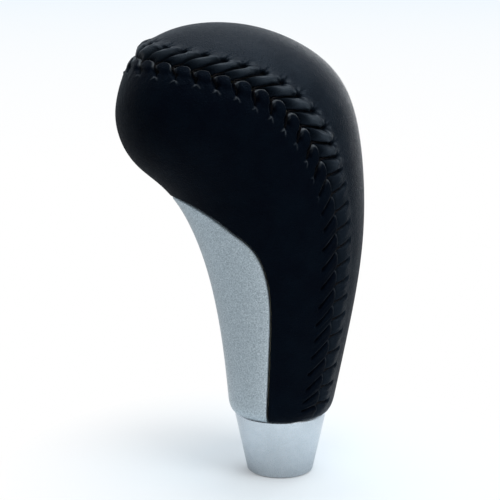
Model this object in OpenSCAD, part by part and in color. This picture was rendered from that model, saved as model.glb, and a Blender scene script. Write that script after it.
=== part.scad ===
// Gear shift knob for an automatic lever, in millimetres.
// It stands on its collar. The lever runs up the Z axis, the nose of the head points along -X,
// and the origin is at the middle of the collar's foot.
// The grip is lapped by two leather panels that are laced together along one long seam,
// which climbs one side, passes over the nose and comes down the other side.

/* [Head and grip] */
// Height from the foot of the collar to the top of the head
knob_h = 122.8; // [118:0.2:128]
// Reach of the nose in front of the lever
nose_reach = 44; // [41:0.5:47]
// Height of the tip of the nose
nose_z = 98; // [95:0.5:101]
// Reach of the back behind the lever
back_reach = 22.2; // [21:0.1:24]
// Height of the fullest point of the back
back_z = 71; // [67:1:75]
// Width across the head
head_w = 45; // [42:0.5:48]
// Diameter of the grip at its foot
grip_d = 28; // [27:0.1:29.6]
// Rounding of the grip where it meets the collar
foot_round = 1.3; // [0.8:0.1:1.6]
// Height of that rounding
foot_round_h = 3.5; // [2.5:0.1:4.5]

/* [Collar] */
// Height of the collar
collar_h = 17.2; // [16:0.2:19]
// Diameter of the collar at its foot
collar_base_d = 18; // [17.4:0.1:19]
// Diameter of the collar under the grip
collar_top_d = 25.6; // [24.6:0.1:26.4]
// Chamfer on the edges of the collar
collar_chamfer = 0.4; // [0.2:0.05:0.5]
// Bore in the foot of the collar, which holds the guide bush
collar_bore_d = 15.4; // [15.2:0.1:15.8]
// Height of the underside of the flange inside the collar
flange_z = 6; // [5.6:0.1:6.6]
// Thickness of that flange
flange_t = 2.6; // [2:0.1:3]
// Bore of that flange
flange_bore_d = 9; // [8.8:0.1:9.2]
// Running room between the collar and the stem of the core
stem_clearance = 0.1; // [0.05:0.05:0.2]

/* [Lever bore] */
// Bore that guides the lever
guide_bore_d = 8.5; // [8.3:0.1:8.7]
// Height of the guide bush
bush_h = 3.6; // [3:0.1:3.7]
// Depth of the guide bush above the foot
bush_z = 1; // [0.6:0.1:1]
// Chamfer at the mouth of the guide bush
bush_chamfer = 0.5; // [0.2:0.1:0.8]
// Plain bore of the threaded insert, for an M8 lever
insert_bore_d = 6.8; // [6.5:0.1:7]
// Size across the corners of the hexagonal insert
insert_d = 12.7; // [12:0.1:13]
// Length of the insert
insert_l = 18; // [14:0.5:20]
// Height of the lower end of the insert
insert_z = 22; // [20:0.5:24]
// Depth of the pocket above the insert
pocket_l = 6; // [5:0.5:8]

/* [Core] */
// Diameter of the stem that enters the collar
stem_d = 15.4; // [15:0.1:15.6]
// Depth of the core below the skin in the grip
core_depth_grip = 6; // [5.7:0.1:6.2]
// Depth of the core below the skin in the head
core_depth_head = 11; // [9:0.5:11.5]
// Bore of the stem, around the lever
stem_bore_d = 8.6; // [8.4:0.1:8.7]

/* [Screws] */
// Number of screws through the flange
screw_count = 3; // [3:1:3]
// Diameter of the circle on which the screws lie
screw_circle_d = 12; // [11.8:0.1:12.1]
// Diameter of the screw shank
screw_d = 2; // [1.8:0.1:2]
// Length of the screw shank
screw_l = 9.5; // [7:0.5:11]
// Diameter of the screw head
screw_head_d = 2.9; // [2.7:0.1:3]
// Height of the screw head
screw_head_h = 1.2; // [1:0.1:1.3]
// Room around the shank in the flange
screw_clearance = 0.15; // [0.1:0.05:0.2]

/* [Covers] */
// Thickness of the leather with its backing
leather_t = 1.6; // [1.4:0.1:1.8]
// Thickness of the front trim
trim_t = 1.6; // [1.4:0.1:1.8]
// Room between the covers and the foam
cover_clearance = 0.2; // [0.15:0.05:0.3]
// Gap between the trim and the leather
trim_gap = 0.4; // [0.3:0.05:0.6]
// Width of the rolled edge of the leather and trim along that gap
trim_roll = 0.9; // [0.6:0.1:1.2]
// Depth of that rolled edge
trim_roll_depth = 0.45; // [0.2:0.05:0.6]

/* [Seam] */
// Distance from one stitch to the next, on average
stitch_pitch = 5.2; // [4.8:0.1:5.6]
// Share by which the stitches are closer at the foot, and further apart at the nose
pitch_spread_share = 0.1; // [0:0.01:0.12]
// Gap between the two panels along the seam
seam_gap = 0.3; // [0.2:0.05:0.5]
// Distance from the seam to the needle holes
hole_reach = 4.4; // [3.8:0.1:5]
// Distance from the seam to the end of the gathers
gather_reach = 6.6; // [6:0.1:7]
// Depth of the groove along the seam
groove_depth = 0.75; // [0.4:0.05:0.9]
// Depth of the valley under each stitch
valley_depth = 0.85; // [0.7:0.05:0.95]
// Height of the puff between two stitches
puff_height = 0.35; // [0:0.05:0.5]
// Diameter of the sewing thread
thread_d = 0.5; // [0.4:0.05:0.6]
// Height of the thread's middle over the plain skin at the needle holes
thread_rise = 0.08; // [0:0.02:0.14]
// Depth of the thread's middle below the plain skin where it crosses the seam
thread_dip = 0.05; // [0:0.01:0.1]

/* [Trim bosses] */
// Diameter of the bosses behind the trim
boss_d = 3; // [2.6:0.1:3.2]
// Reach of the bosses behind the skin
boss_l = 12; // [11.6:0.1:12.4]
// Outer diameter of the spring clips
clip_d = 4.6; // [4.2:0.1:4.8]
// Length of the spring clips
clip_l = 3.6; // [3:0.1:4]
// Depth of the clips behind the skin
clip_depth = 8.4; // [8.2:0.1:8.6]
// Depth of the clip sockets behind the skin
socket_depth = 12.8; // [12.6:0.1:13.2]
// Room between the clips and the foam
clip_clearance = 0.2; // [0.1:0.05:0.4]
// Wall of the boss that starts inside the trim
boss_root = 0.9; // [0.8:0.05:1]

/* [Hidden] */
$fn = 64;

// Small number that keeps cutting tools clear of the faces they cut
eps = 0.01;

// Side outline of the knob, as shares of its main sizes.
// Front, from the foot to the nose: share of the reach, share of the height
front_line = [
  [0, 0], [0.057, 0.21], [0.143, 0.4], [0.26, 0.556], [0.417, 0.685],
  [0.6, 0.772], [0.793, 0.833], [0.933, 0.904], [0.997, 0.988]
];
// Crown, from the nose over the top to the back: share of the whole length, share of the rise
crown_line = [
  [0.012, 0.647], [0.076, 0.83], [0.242, 0.971], [0.514, 0.99],
  [0.77, 0.869], [0.929, 0.647], [0.992, 0.29]
];
// Back, from its fullest point to the foot: share of the reach, share of the height
back_line = [[0.964, 0.852], [0.53, 0.407], [0, 0]];
// Half width at even steps from the foot to the nose, as a share of the way from the foot's to the
// head's, and then as a share of the head's
grip_widths = [0, 0.18, 0.35, 0.59, 0.82, 1];
head_widths = [0.978, 0.778, 0.422, 0, -0.422];

// The seam and the trim's edge, at even steps from the foot to the nose: distance from the nose
// as a share of the way to the foot, and angle around the grip from the middle of the back
seam_line = [
  [1, 51], [0.9, 49.5], [0.8, 51.5], [0.7, 53], [0.6, 59.5], [0.5, 63],
  [0.4, 64.5], [0.32, 66], [0.22, 61], [0.15, 47], [0.105, 0]
];
trim_line = [
  [1, 106.5], [0.9, 106], [0.81, 105], [0.745, 107.5], [0.7, 113], [0.66, 122],
  [0.62, 131], [0.575, 141], [0.535, 151], [0.505, 163], [0.495, 180]
];
// Share of the way that the middle lines of the back panel and the trim stop short of their tips
back_tip_share = 0.17;
trim_tip_share = 0.06;

// Places of the trim's bosses, in the same terms as the seam
boss_places = [[0.78, 161], [0.78, -161], [0.6, 163], [0.6, -163]];

// Overlap of the stem with the body of the core, and room past the points of the screws
stem_overlap = 2;
screw_tip = 0.5;
// Chamfer at the mouth of the insert's thread, and the groove round it
insert_chamfer = 0.6;
groove_w = 2.4;
groove_floor_ratio = 0.84;
// Slot of the spring clips
clip_slot = 0.8;
// Size of the bead where a stitch bends, and how far its halves stop short of the bead's middle,
// against the thread's diameter
thread_bead_ratio = 1.5;
thread_short_ratio = 0.3;

foot_r = grip_d / 2;
head_r = head_w / 2;
crown_h = knob_h - back_z;
seat_z = flange_z + flange_t;

function lerp(a, b, f) = a + (b - a) * f;
function clip01(x) = min(max(x, 0), 1);
function ease(x) = let(c = clip01(x)) c * c * (3 - 2 * c);

// Smooth cubic curve through a list of points
function extended(q) =
  concat([2 * q[0] - q[1]], q, [2 * q[len(q) - 1] - q[len(q) - 2]]);
function refined(p, q) =
  let (e = extended(q)) [for (i = [0:len(p) - 1]) q[i] + p[i] - (e[i] + 4 * q[i] + e[i + 2]) / 6];
function relaxed(p, passes) = passes == 0 ? p : refined(p, relaxed(p, passes - 1));
function through(p) = extended(relaxed(p, 8));
function curve(e, x) =
  let (i = min(max(floor(x), 0), len(e) - 4), f = x - i, g = 1 - f)
  (g * g * g * e[i] + (3 * f * f * f - 6 * f * f + 4) * e[i + 1]
   + (3 * g * g * g - 6 * g * g + 4) * e[i + 2] + f * f * f * e[i + 3]) / 6;

// Outline in the XZ plane, from the foot's front over the nose and the top to the foot's back
outline = concat(
  [for (p = front_line)
    [-lerp(foot_r, nose_reach, p[0]), lerp(collar_h, nose_z, p[1])]],
  [for (p = crown_line)
    [lerp(-nose_reach, back_reach, p[0]), back_z + crown_h * p[1]]],
  [for (p = back_line)
    [lerp(foot_r, back_reach, p[0]), lerp(collar_h, back_z, p[1])]]
);
half_steps = (len(outline) - 1) / 2;
outline_curve = through(outline);
width_curve = through(concat(
  [for (f = grip_widths) lerp(foot_r, head_r, f)],
  [for (f = head_widths) head_r * f]
));

// Skin of the knob. A place on it is a flat chart around the nose: its distance from the middle
// is 0 at the nose and 1 at the foot, and its angle is 0 at the back and 180 at the front.
function chart(rho, angle) = rho * [cos(angle), sin(angle)];
function skin(c) =
  let (
    s = (1 - norm(c)) * half_steps,
    front = curve(outline_curve, s),
    back = curve(outline_curve, 2 * half_steps - s),
    middle = (front + back) / 2,
    reach = (back - front) / 2,
    angle = atan2(c[1], c[0]),
    side = curve(width_curve, s)
  )
  [middle[0] + reach[0] * cos(angle), -side * sin(angle), middle[1] + reach[1] * cos(angle)];
chart_step = 0.004;
function inward(c) =
  let (
    u = skin(c + [chart_step, 0]) - skin(c - [chart_step, 0]),
    v = skin(c + [0, chart_step]) - skin(c - [0, chart_step]),
    n = cross(u, v)
  )
  n / norm(n);
foot_share = foot_round_h / (outline[1][1] - outline[0][1]) / half_steps;
function foot_roll(rho) =
  let (k = clip01(1 - (1 - rho) / foot_share)) foot_round * (1 - sqrt(1 - k * k));
// Point at a depth below the skin, kept on the collar's top face along the foot
function below_skin(c, depth) =
  let (p = skin(c) + (depth + foot_roll(norm(c))) * inward(c))
  norm(c) > 1 - eps / 10 ? [p[0], p[1], collar_h] : p;

// The lines that bound the covers, from the foot at 0 to the nose at 1
function mirrored_end(p) = let (q = p[len(p) - 2]) concat(p, [[q[0], -q[1]]]);
function chart_curve(line) = through(mirrored_end([for (p = line) chart(p[0], p[1])]));
seam_curve = chart_curve(seam_line);
trim_curve = chart_curve(trim_line);
line_steps = len(seam_line) - 1;
function above_axis(p) = [p[0], max(p[1], 0)];
function seam_at(t) = above_axis(curve(seam_curve, t * line_steps));
function trim_at(t) = above_axis(curve(trim_curve, t * line_steps));
function back_at(t) = [norm(seam_at(t)) + back_tip_share * ease(2 * t - 1), 0];
function front_at(t) = [-norm(trim_at(t)) - trim_tip_share * ease(2 * t - 1), 0];

// The covers: the back panel and the side panel start at the seam, the trim at its edge
BACK = 0;
SIDE = 1;
TRIM = 2;
function turned(a, b, w) =
  chart(lerp(norm(a), norm(b), w), lerp(atan2(a[1], a[0]), atan2(b[1], b[0]), w));
function across(cover, t, w) =
  cover == BACK ? turned(seam_at(t), back_at(t), w)
  : cover == TRIM ? turned(trim_at(t), front_at(t), w)
  : lerp(turned(seam_at(t), trim_at(t), w), lerp(seam_at(t), trim_at(t), w), ease(2 * t - 0.7));
probe = 0.02;
function start_speed(cover, t) =
  norm(skin(across(cover, t, probe)) - skin(across(cover, t, 0))) / probe;
function end_speed(cover, t) =
  norm(skin(across(cover, t, 1)) - skin(across(cover, t, 1 - probe))) / probe;

// Length along the seam, from the foot to the nose
arc_steps = 160;
arc_table = [
  for (k = 0, q = skin(seam_at(0)), p = q, a = 0; k <= arc_steps;
    k = k + 1, q = skin(seam_at(k / arc_steps)), a = a + norm(q - p), p = q)
    [a, k / arc_steps]
];
half_seam = arc_table[arc_steps][0];
// Each side has the same stitches, and the coarse columns come in pairs that meet at the nose
stitches = 2 * round(half_seam / stitch_pitch);
columns_per_stitch = 4;
fine_columns = stitches * columns_per_stitch;
inner_columns = 2 * ceil(stitches / 4);

// Slant of the gathers: how far a needle hole lies along the seam from its stitch, against the
// stitches' pitch. Less than 0 is toward the foot. It changes in the bend between grip and head.
side_grip_slant_share = -0.85;
side_bend_slant_share = -0.3;
side_head_slant_share = -0.75;
back_grip_slant_share = 0.15;
back_head_slant_share = -0.82;
slant_start = 14;
bend_start = 35;
head_start = 60;
head_end = 85;
crown_start = 115;
function between(a, from, to) = ease((a - from) / (to - from));
function slant(cover, a) =
  stitch_pitch * between(a, 0, slant_start) * between(half_seam - a, 0, slant_start) * (
    cover == SIDE
      ? lerp(lerp(side_grip_slant_share, side_bend_slant_share, between(a, bend_start, head_start)),
          side_head_slant_share, between(a, head_end, crown_start))
    : cover == BACK
      ? lerp(back_grip_slant_share, back_head_slant_share, between(a, head_start, head_end))
    : 0);

// Rows of points across a cover: the gathers first, at set distances, then even shares
gather_shares = [0.27, 0.62, 1];
gather_rows = concat([seam_gap / 2], hole_reach * gather_shares, [gather_reach]);
gather_end = len(gather_rows) - 1;
side_shares = 7;
back_shares = 4;
trim_shares = 4;
function w_share(cover, t, f) =
  let (w0 = (cover == TRIM ? trim_gap + trim_roll : gather_reach) / start_speed(cover, t),
    w1 = cover == SIDE ? 1 - trim_roll / end_speed(cover, t) : 1)
  lerp(w0, w1, f);
function w_start(cover, t, d) = d / start_speed(cover, t);

// Chart place on a cover at length a along the seam, slanted by share f of the hole's offset
function t_at(cover, a, f) = lookup(a + slant(cover, a) * f, arc_table);

// Height of the gathered leather above its plain skin, at distance d from the seam and
// phase p between one stitch at 0 and the next at 1
function gather(d, p) =
  let (
    crest = pow(abs(sin(180 * p)), 0.8),
    near = 1 - ease(d / (hole_reach * 0.6)),
    far = 1 - ease((d - hole_reach * 0.75) / (gather_reach - hole_reach * 0.75)),
    middle = ease(d / hole_reach * 2) * far
  )
  puff_height * crest * middle - groove_depth * near
  - valley_depth * (1 - crest) * lerp(middle, 0.5, near);

// Point on a cover. Column i of n runs from the near foot over the nose to the far foot.
function column_side(i, n) = i * 2 <= n ? 1 : -1;
function column_length(i, n) =
  let (u = 2 * min(i, n - i) / n) half_seam * u * (1 - pitch_spread_share * (1 - u));
function on_side(c, i, n) = [c[0], c[1] * column_side(i, n)];
function fine_point(cover, i, row) =
  let (
    d = gather_rows[row],
    f = min(d / hole_reach, 1),
    t = t_at(cover, column_length(i, fine_columns), f)
  )
  below_skin(on_side(across(cover, t, w_start(cover, t, d)), i, fine_columns),
    -gather(d, i % columns_per_stitch / columns_per_stitch));
function share_point(cover, i, n, f, depth) =
  let (t = t_at(cover, column_length(i, n), 1 - f))
  below_skin(on_side(across(cover, t, w_share(cover, t, f)), i, n), depth);
function start_point(cover, i, n, d, depth) =
  let (t = t_at(cover, column_length(i, n), 0))
  below_skin(on_side(across(cover, t, w_start(cover, t, d)), i, n), depth);
function end_point(cover, i, n, d, depth) =
  let (t = t_at(cover, column_length(i, n), 0))
  below_skin(on_side(across(cover, t, 1 - d / end_speed(cover, t)), i, n), depth);

// Triangles that join two chains of point numbers, whatever their lengths
function zipped(a, b) =
  let (
    m = len(a) - 1,
    n = len(b) - 1,
    r = n / m,
    tie = 0.000001
  )
  concat(
    [for (i = [0:m - 1]) [a[i], a[i + 1], b[floor((i + 0.5) * r + 0.5 + tie)]]],
    [for (j = [0:n - 1]) [b[j + 1], b[j], a[ceil((j + 0.5) / r - 0.5 - tie)]]]
  );
function turned_over(faces) = [for (f = faces) [f[2], f[1], f[0]]];
function count_up(first, n) = [for (i = [0:n]) first + i];
// Numbers of a row whose far half repeats its near half
function folded(first, n) = [for (i = [0:n]) first + min(i, n - i)];
function reversed(q) = [for (i = [len(q) - 1:-1:0]) q[i]];
function joined(lists) = [for (l = lists) each l];
function strips(rows) = joined([for (k = [0:len(rows) - 2]) zipped(rows[k], rows[k + 1])]);
function firsts(rows) = [for (r = rows) r[0]];
function lasts(rows) = [for (r = rows) r[len(r) - 1]];
function starts(rows, k) = k == 0 ? 0 : starts(rows, k - 1) + len(rows[k - 1]);

// Closed cover made of an outer and an inner sheet of point rows. A cover that folds has its last
// rows doubled back on themselves, and over turns the faces of a cover whose rows run the other way.
module cover_solid(outer, inner, folds, over) {
  rows = concat(outer, inner);
  n = len(outer);
  last = len(rows) - 1;
  names = [for (k = [0:last])
    let (s = starts(rows, k), m = len(rows[k]) - 1)
    (folds && (k == n - 1 || k == last) ? folded(s, m) : count_up(s, m))];
  top = [for (k = [0:n - 1]) names[k]];
  under = [for (k = [n:last]) names[k]];
  rim = folds ? [] : zipped(top[n - 1], under[last - n]);
  faces = concat(
    strips(top),
    turned_over(strips(under)),
    zipped(under[0], top[0]),
    rim,
    zipped(firsts(top), firsts(under)),
    turned_over(zipped(lasts(top), lasts(under)))
  );
  polyhedron(points = joined(rows), faces = over ? turned_over(faces) : faces);
}

// Outer and inner rows of the covers
function gather_sheet(cover) =
  [for (row = [0:gather_end]) [for (i = [0:fine_columns]) fine_point(cover, i, row)]];
function share_rows(cover, n, shares, depth) =
  [for (k = [1:shares]) [for (i = [0:n]) share_point(cover, i, n, k / shares, depth)]];
function start_row(cover, n, d, depth) = [for (i = [0:n]) start_point(cover, i, n, d, depth)];
function end_row(cover, n, d, depth) = [for (i = [0:n]) end_point(cover, i, n, d, depth)];

module side_panel() {
  color([0.06, 0.08, 0.1])
    cover_solid(
      concat(gather_sheet(SIDE), share_rows(SIDE, stitches, side_shares, 0),
        [end_row(SIDE, stitches, trim_gap / 2, trim_roll_depth)]),
      side_under(inner_columns, seam_gap / 2, trim_gap / 2, leather_t),
      false, true
    );
}

// Rows of the underside of each cover, which the foam follows at its own depth
function side_under(n, d0, d1, depth) = concat(
  [start_row(SIDE, n, d0, depth)],
  [[for (i = [0:n]) share_point(SIDE, i, n, 0, depth)]],
  share_rows(SIDE, n, side_shares, depth),
  [end_row(SIDE, n, d1, depth)]
);
function back_under(n, d0, depth) = concat(
  [start_row(BACK, n, d0, depth)],
  [[for (i = [0:n]) share_point(BACK, i, n, 0, depth)]],
  share_rows(BACK, n, back_shares, depth)
);
function trim_under(n, d0, depth) = concat(
  [start_row(TRIM, n, d0, depth)],
  [[for (i = [0:n]) share_point(TRIM, i, n, 0, depth)]],
  share_rows(TRIM, n, trim_shares, depth)
);

module back_panel() {
  color([0.07, 0.09, 0.11])
    cover_solid(
      concat(gather_sheet(BACK), share_rows(BACK, stitches, back_shares, 0)),
      back_under(inner_columns, seam_gap / 2, leather_t),
      true, false
    );
}

module front_trim() {
  color([0.6, 0.64, 0.66])
    union() {
      cover_solid(
        concat([start_row(TRIM, stitches, trim_gap / 2, trim_roll_depth)],
          [[for (i = [0:stitches]) share_point(TRIM, i, stitches, 0, 0)]],
          share_rows(TRIM, stitches, trim_shares, 0)),
        trim_under(inner_columns, trim_gap / 2, trim_t),
        true, true
      );
      boss_spaces(boss_d, boss_root, boss_l);
    }
}

// Armature inside the foam, as rings of points drawn in toward the middle of each section
core_tip_share = 0.3;
core_ring_count = 12;
core_sides = 24;
core_thin_start_share = 0.4;
core_thin_run_share = 0.35;
function section_middle(rho) = (skin([rho, 0]) + skin([-rho, 0])) / 2;
function core_point(rho, angle) =
  let (
    p = skin(chart(rho, angle)),
    inner = section_middle(rho) - p,
    thin = ease((1 - rho - core_thin_start_share) / core_thin_run_share),
    depth = lerp(core_depth_grip, core_depth_head, thin)
  )
  p + inner / norm(inner) * depth;
function core_rows() =
  [for (k = [0:core_ring_count])
    [for (j = [0:core_sides - 1])
      core_point(lerp(1, core_tip_share, k / core_ring_count), 360 * j / core_sides)]];
function ring_names(first) = [for (j = [0:core_sides]) first + j % core_sides];
function core_wall(first) =
  strips([for (k = [0:core_ring_count]) ring_names(first + k * core_sides)]);
function core_cap(first) =
  let (ring = ring_names(first + core_ring_count * core_sides),
    middle = first + (core_ring_count + 1) * core_sides)
  [for (j = [0:core_sides - 1]) [ring[j], ring[j + 1], middle]];

module core_form() {
  polyhedron(
    points = concat(joined(core_rows()), [section_middle(core_tip_share)]),
    faces = concat(
      core_wall(0),
      core_cap(0),
      [reversed(count_up(0, core_sides - 1))]
    )
  );
}

module core() {
  color([0.16, 0.16, 0.17])
    difference() {
      union() {
        core_form();
        translate([0, 0, seat_z])
          cylinder(d = stem_d, h = collar_h - seat_z + stem_overlap);
      }
      translate([0, 0, seat_z - eps])
        cylinder(d = stem_bore_d, h = insert_z - seat_z + eps);
      insert_form();
      translate([0, 0, insert_z + insert_l - eps])
        cylinder(d = stem_bore_d, h = pocket_l + eps);
      screw_places()
        translate([0, 0, flange_z])
          cylinder(d = screw_d, h = screw_l + screw_tip);
      boss_spaces(clip_d, 0, socket_depth);
    }
}

module foam_body() {
  depth = leather_t + cover_clearance;
  back_rows = back_under(inner_columns, 0, depth);
  seam = len(back_rows) - 1;
  rows = concat(
    reversed(back_rows),
    without_first(side_under(inner_columns, 0, 0, depth)),
    without_first(trim_under(inner_columns, 0, depth))
  );
  last = len(rows) - 1;
  names = [for (k = [0:last])
    let (s = starts(rows, k))
    (k == 0 || k == last ? folded(s, inner_columns) : count_up(s, inner_columns))];
  core_first = len(rows) * (inner_columns + 1);
  outer_foot = concat(firsts(names), without_first(reversed(lasts(names))));
  color([0.75, 0.7, 0.55])
    difference() {
      polyhedron(
        points = concat(joined(rows), joined(core_rows()), [section_middle(core_tip_share)]),
        faces = concat(
          strips([for (k = [seam:-1:0]) names[k]]),
          turned_over(strips([for (k = [seam:last]) names[k]])),
          turned_over(core_wall(core_first)),
          turned_over(core_cap(core_first)),
          turned_over(zipped(outer_foot, ring_names(core_first)))
        )
      );
      boss_spaces(clip_d + 2 * clip_clearance, -clip_depth, socket_depth);
    }
}
function without_first(q) = [for (i = [1:len(q) - 1]) q[i]];

// Sewing thread: each stitch runs down its valley from a needle hole to the seam and up to the next.
// Both halves end inside a bead where the thread bends, as it is thicker where it turns.
module seam_thread() {
  color([0.1, 0.11, 0.12])
    for (i = [1:stitches - 1]) stitch(i * columns_per_stitch);
}
module stitch(i) {
  place = on_side(seam_at(t_at(SIDE, column_length(i, fine_columns), 0)), i, fine_columns);
  middle = below_skin(place, thread_dip);
  half_bead = inward(place) * thread_d * thread_bead_ratio / 2;
  rod(middle - half_bead, middle + half_bead, thread_d * thread_bead_ratio, $fn = 8);
  for (hole = [hole_point(SIDE, i), hole_point(BACK, i)])
    rod(hole, middle + (hole - middle) * thread_d * thread_short_ratio / norm(hole - middle), thread_d);
}
function hole_point(cover, i) =
  let (t = t_at(cover, column_length(i, fine_columns), 1))
  below_skin(on_side(across(cover, t, w_start(cover, t, hole_reach)), i, fine_columns), -thread_rise);
module rod(p, q, d) {
  v = q - p;
  translate(p)
    rotate([0, acos(v[2] / norm(v)), atan2(v[1], v[0])])
      cylinder(d = d, h = norm(v));
}

// Bosses behind the trim, which run straight back so that the trim pushes on in one movement
module boss_spaces(d, from, to) {
  for (place = boss_places)
    translate(skin(chart(place[0], place[1])))
      rotate([0, 90, 0])
        translate([0, 0, from])
          cylinder(d = d, h = to - from);
}
module trim_clip(number) {
  place = boss_places[number - 1];
  color([0.7, 0.72, 0.75])
    translate(skin(chart(place[0], place[1])))
      rotate([0, 90, 0])
        translate([0, 0, clip_depth])
          difference() {
            cylinder(d = clip_d, h = clip_l);
            translate([0, 0, -eps])
              cylinder(d = boss_d, h = clip_l + 2 * eps);
            translate([0, -clip_slot / 2, -eps])
              cube([clip_d, clip_slot, clip_l + 2 * eps]);
          }
}

// Turned collar with a flange inside it that carries the stem of the core
module collar() {
  base_r = collar_base_d / 2;
  top_r = collar_top_d / 2;
  bore_r = collar_bore_d / 2;
  flange_bore_r = flange_bore_d / 2;
  socket_r = stem_d / 2 + stem_clearance;
  c = collar_chamfer;
  color([0.78, 0.82, 0.86])
    difference() {
      rotate_extrude()
        polygon([
          [bore_r, 0], [base_r - c, 0], [base_r + (top_r - base_r) * c / collar_h, c],
          [top_r - c / 2, collar_h - c], [top_r - c, collar_h],
          [socket_r, collar_h], [socket_r, seat_z], [flange_bore_r, seat_z],
          [flange_bore_r, flange_z], [bore_r, flange_z]
        ]);
      screw_places()
        translate([0, 0, flange_z - eps])
          cylinder(d = screw_d + 2 * screw_clearance, h = flange_t + 2 * eps);
    }
}

// Nylon bush that centres the lever and hides the screws
module guide_bush() {
  r = guide_bore_d / 2;
  color([0.12, 0.12, 0.13])
    translate([0, 0, bush_z])
      rotate_extrude()
        polygon([
          [r + bush_chamfer, 0], [collar_bore_d / 2, 0], [collar_bore_d / 2, bush_h],
          [r, bush_h], [r, bush_chamfer]
        ]);
}

// Screws that hold the collar to the core, driven from below
module screw_places() {
  for (i = [1:screw_count])
    rotate([0, 0, 360 * i / screw_count])
      translate([screw_circle_d / 2, 0, 0])
        children();
}
module collar_screw(number) {
  color([0.55, 0.56, 0.58])
    rotate([0, 0, 360 * number / screw_count])
      translate([screw_circle_d / 2, 0, flange_z])
        difference() {
          union() {
            cylinder(d = screw_d, h = screw_l);
            translate([0, 0, -screw_head_h])
              cylinder(d = screw_head_d, h = screw_head_h);
          }
          translate([0, 0, -screw_head_h - eps])
            cylinder(d = screw_head_d / 2, h = screw_head_h / 2, $fn = 6);
        }
}

// Hexagonal steel insert moulded into the core, with a groove that locks it in place
module insert_form() {
  translate([0, 0, insert_z])
    difference() {
      cylinder(d = insert_d, h = insert_l, $fn = 6);
      translate([0, 0, (insert_l - groove_w) / 2])
        difference() {
          cylinder(d = insert_d * 2, h = groove_w);
          translate([0, 0, -eps])
            cylinder(d = insert_d * groove_floor_ratio, h = groove_w + 2 * eps);
        }
    }
}
module lever_insert() {
  color([0.6, 0.6, 0.62])
    difference() {
      insert_form();
      translate([0, 0, insert_z - eps])
        cylinder(d = insert_bore_d, h = insert_l + 2 * eps);
      translate([0, 0, insert_z - eps])
        cylinder(d1 = insert_bore_d + 2 * insert_chamfer, d2 = insert_bore_d, h = insert_chamfer);
    }
}

collar();
guide_bush();
collar_screw(1);  // collar_screw_1
collar_screw(2);  // collar_screw_2
collar_screw(3);  // collar_screw_3
lever_insert();
core();
foam_body();
side_panel();
back_panel();
seam_thread();
front_trim();
trim_clip(1);  // trim_clip_1
trim_clip(2);  // trim_clip_2
trim_clip(3);  // trim_clip_3
trim_clip(4);  // trim_clip_4
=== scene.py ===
import math

import bmesh
import bpy
import numpy as np
from mathutils import Matrix, Vector


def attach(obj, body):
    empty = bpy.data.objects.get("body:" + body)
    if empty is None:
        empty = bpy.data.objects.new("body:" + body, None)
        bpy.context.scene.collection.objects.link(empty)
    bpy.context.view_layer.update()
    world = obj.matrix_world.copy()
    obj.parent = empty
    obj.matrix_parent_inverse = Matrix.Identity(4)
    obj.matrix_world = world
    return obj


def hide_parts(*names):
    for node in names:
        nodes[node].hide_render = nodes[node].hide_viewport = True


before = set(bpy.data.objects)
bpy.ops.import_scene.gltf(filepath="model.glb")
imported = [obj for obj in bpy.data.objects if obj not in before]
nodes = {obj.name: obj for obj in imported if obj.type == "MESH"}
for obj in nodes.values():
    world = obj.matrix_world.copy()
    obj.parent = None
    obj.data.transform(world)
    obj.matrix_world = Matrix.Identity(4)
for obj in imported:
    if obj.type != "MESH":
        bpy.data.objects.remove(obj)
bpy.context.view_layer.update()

MM = 0.001

# Sizes of the knob in millimetres, as in the part's own source
KNOB_H = 122.8
NOSE_REACH = 44.0
NOSE_Z = 98.0
BACK_REACH = 22.2
BACK_Z = 71.0
HEAD_W = 45.0
GRIP_D = 28.0
FOOT_ROUND = 1.3
FOOT_ROUND_H = 3.5
COLLAR_H = 17.2
COVER_T = 1.6
TRIM_GAP = 0.4
TRIM_ROLL = 0.9
SEAM_GAP = 0.3
STITCH_PITCH = 5.2
PITCH_SPREAD = 0.1
HOLE_REACH = 4.4
# The gathers, with their small wrinkles, reach further than in the source
GATHER_REACH = 7.4

# Side outline as shares of the main sizes: front, crown and back
FRONT_LINE = [
    (0, 0), (0.057, 0.21), (0.143, 0.4), (0.26, 0.556), (0.417, 0.685),
    (0.6, 0.772), (0.793, 0.833), (0.933, 0.904), (0.997, 0.988),
]
CROWN_LINE = [
    (0.012, 0.647), (0.076, 0.83), (0.242, 0.971), (0.514, 0.99),
    (0.77, 0.869), (0.929, 0.647), (0.992, 0.29),
]
BACK_LINE = [(0.964, 0.852), (0.53, 0.407), (0, 0)]
GRIP_WIDTHS = [0, 0.18, 0.35, 0.59, 0.82, 1]
HEAD_WIDTHS = [0.978, 0.778, 0.422, 0, -0.422]

# The seam and the trim's edge: distance from the nose, and angle round the grip from the back
SEAM_LINE = [
    (1, 51), (0.9, 49.5), (0.8, 51.5), (0.7, 53), (0.6, 59.5), (0.5, 63),
    (0.4, 64.5), (0.32, 66), (0.22, 61), (0.15, 47), (0.105, 0),
]
TRIM_LINE = [
    (1, 106.5), (0.9, 106), (0.81, 105), (0.745, 107.5), (0.7, 113), (0.66, 122),
    (0.62, 131), (0.575, 141), (0.535, 151), (0.505, 163), (0.495, 180),
]
BACK_TIP = 0.17
TRIM_TIP = 0.06
STRAIGHT_START = 0.7

# Slant of the gathers, in stitches at the needle hole: side panel on the grip, at the bend and on
# the head, and back panel on the grip and on the head
SIDE_SLANTS = (-0.85, -0.3, -0.75)
BACK_SLANTS = (0.15, -0.82)
# Where along the seam, from the foot, the slants and the forms of the gathers change
SLANT_START = 14.0
BEND_START = 35.0
HEAD_START = 60.0
HEAD_END = 85.0
CROWN_START = 115.0

# The covers
BACK, SIDE, TRIM = range(3)


def lerp(a, b, f):
    return a + (b - a) * f


def ease(x):
    c = np.clip(x, 0, 1)
    return c * c * (3 - 2 * c)


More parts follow.
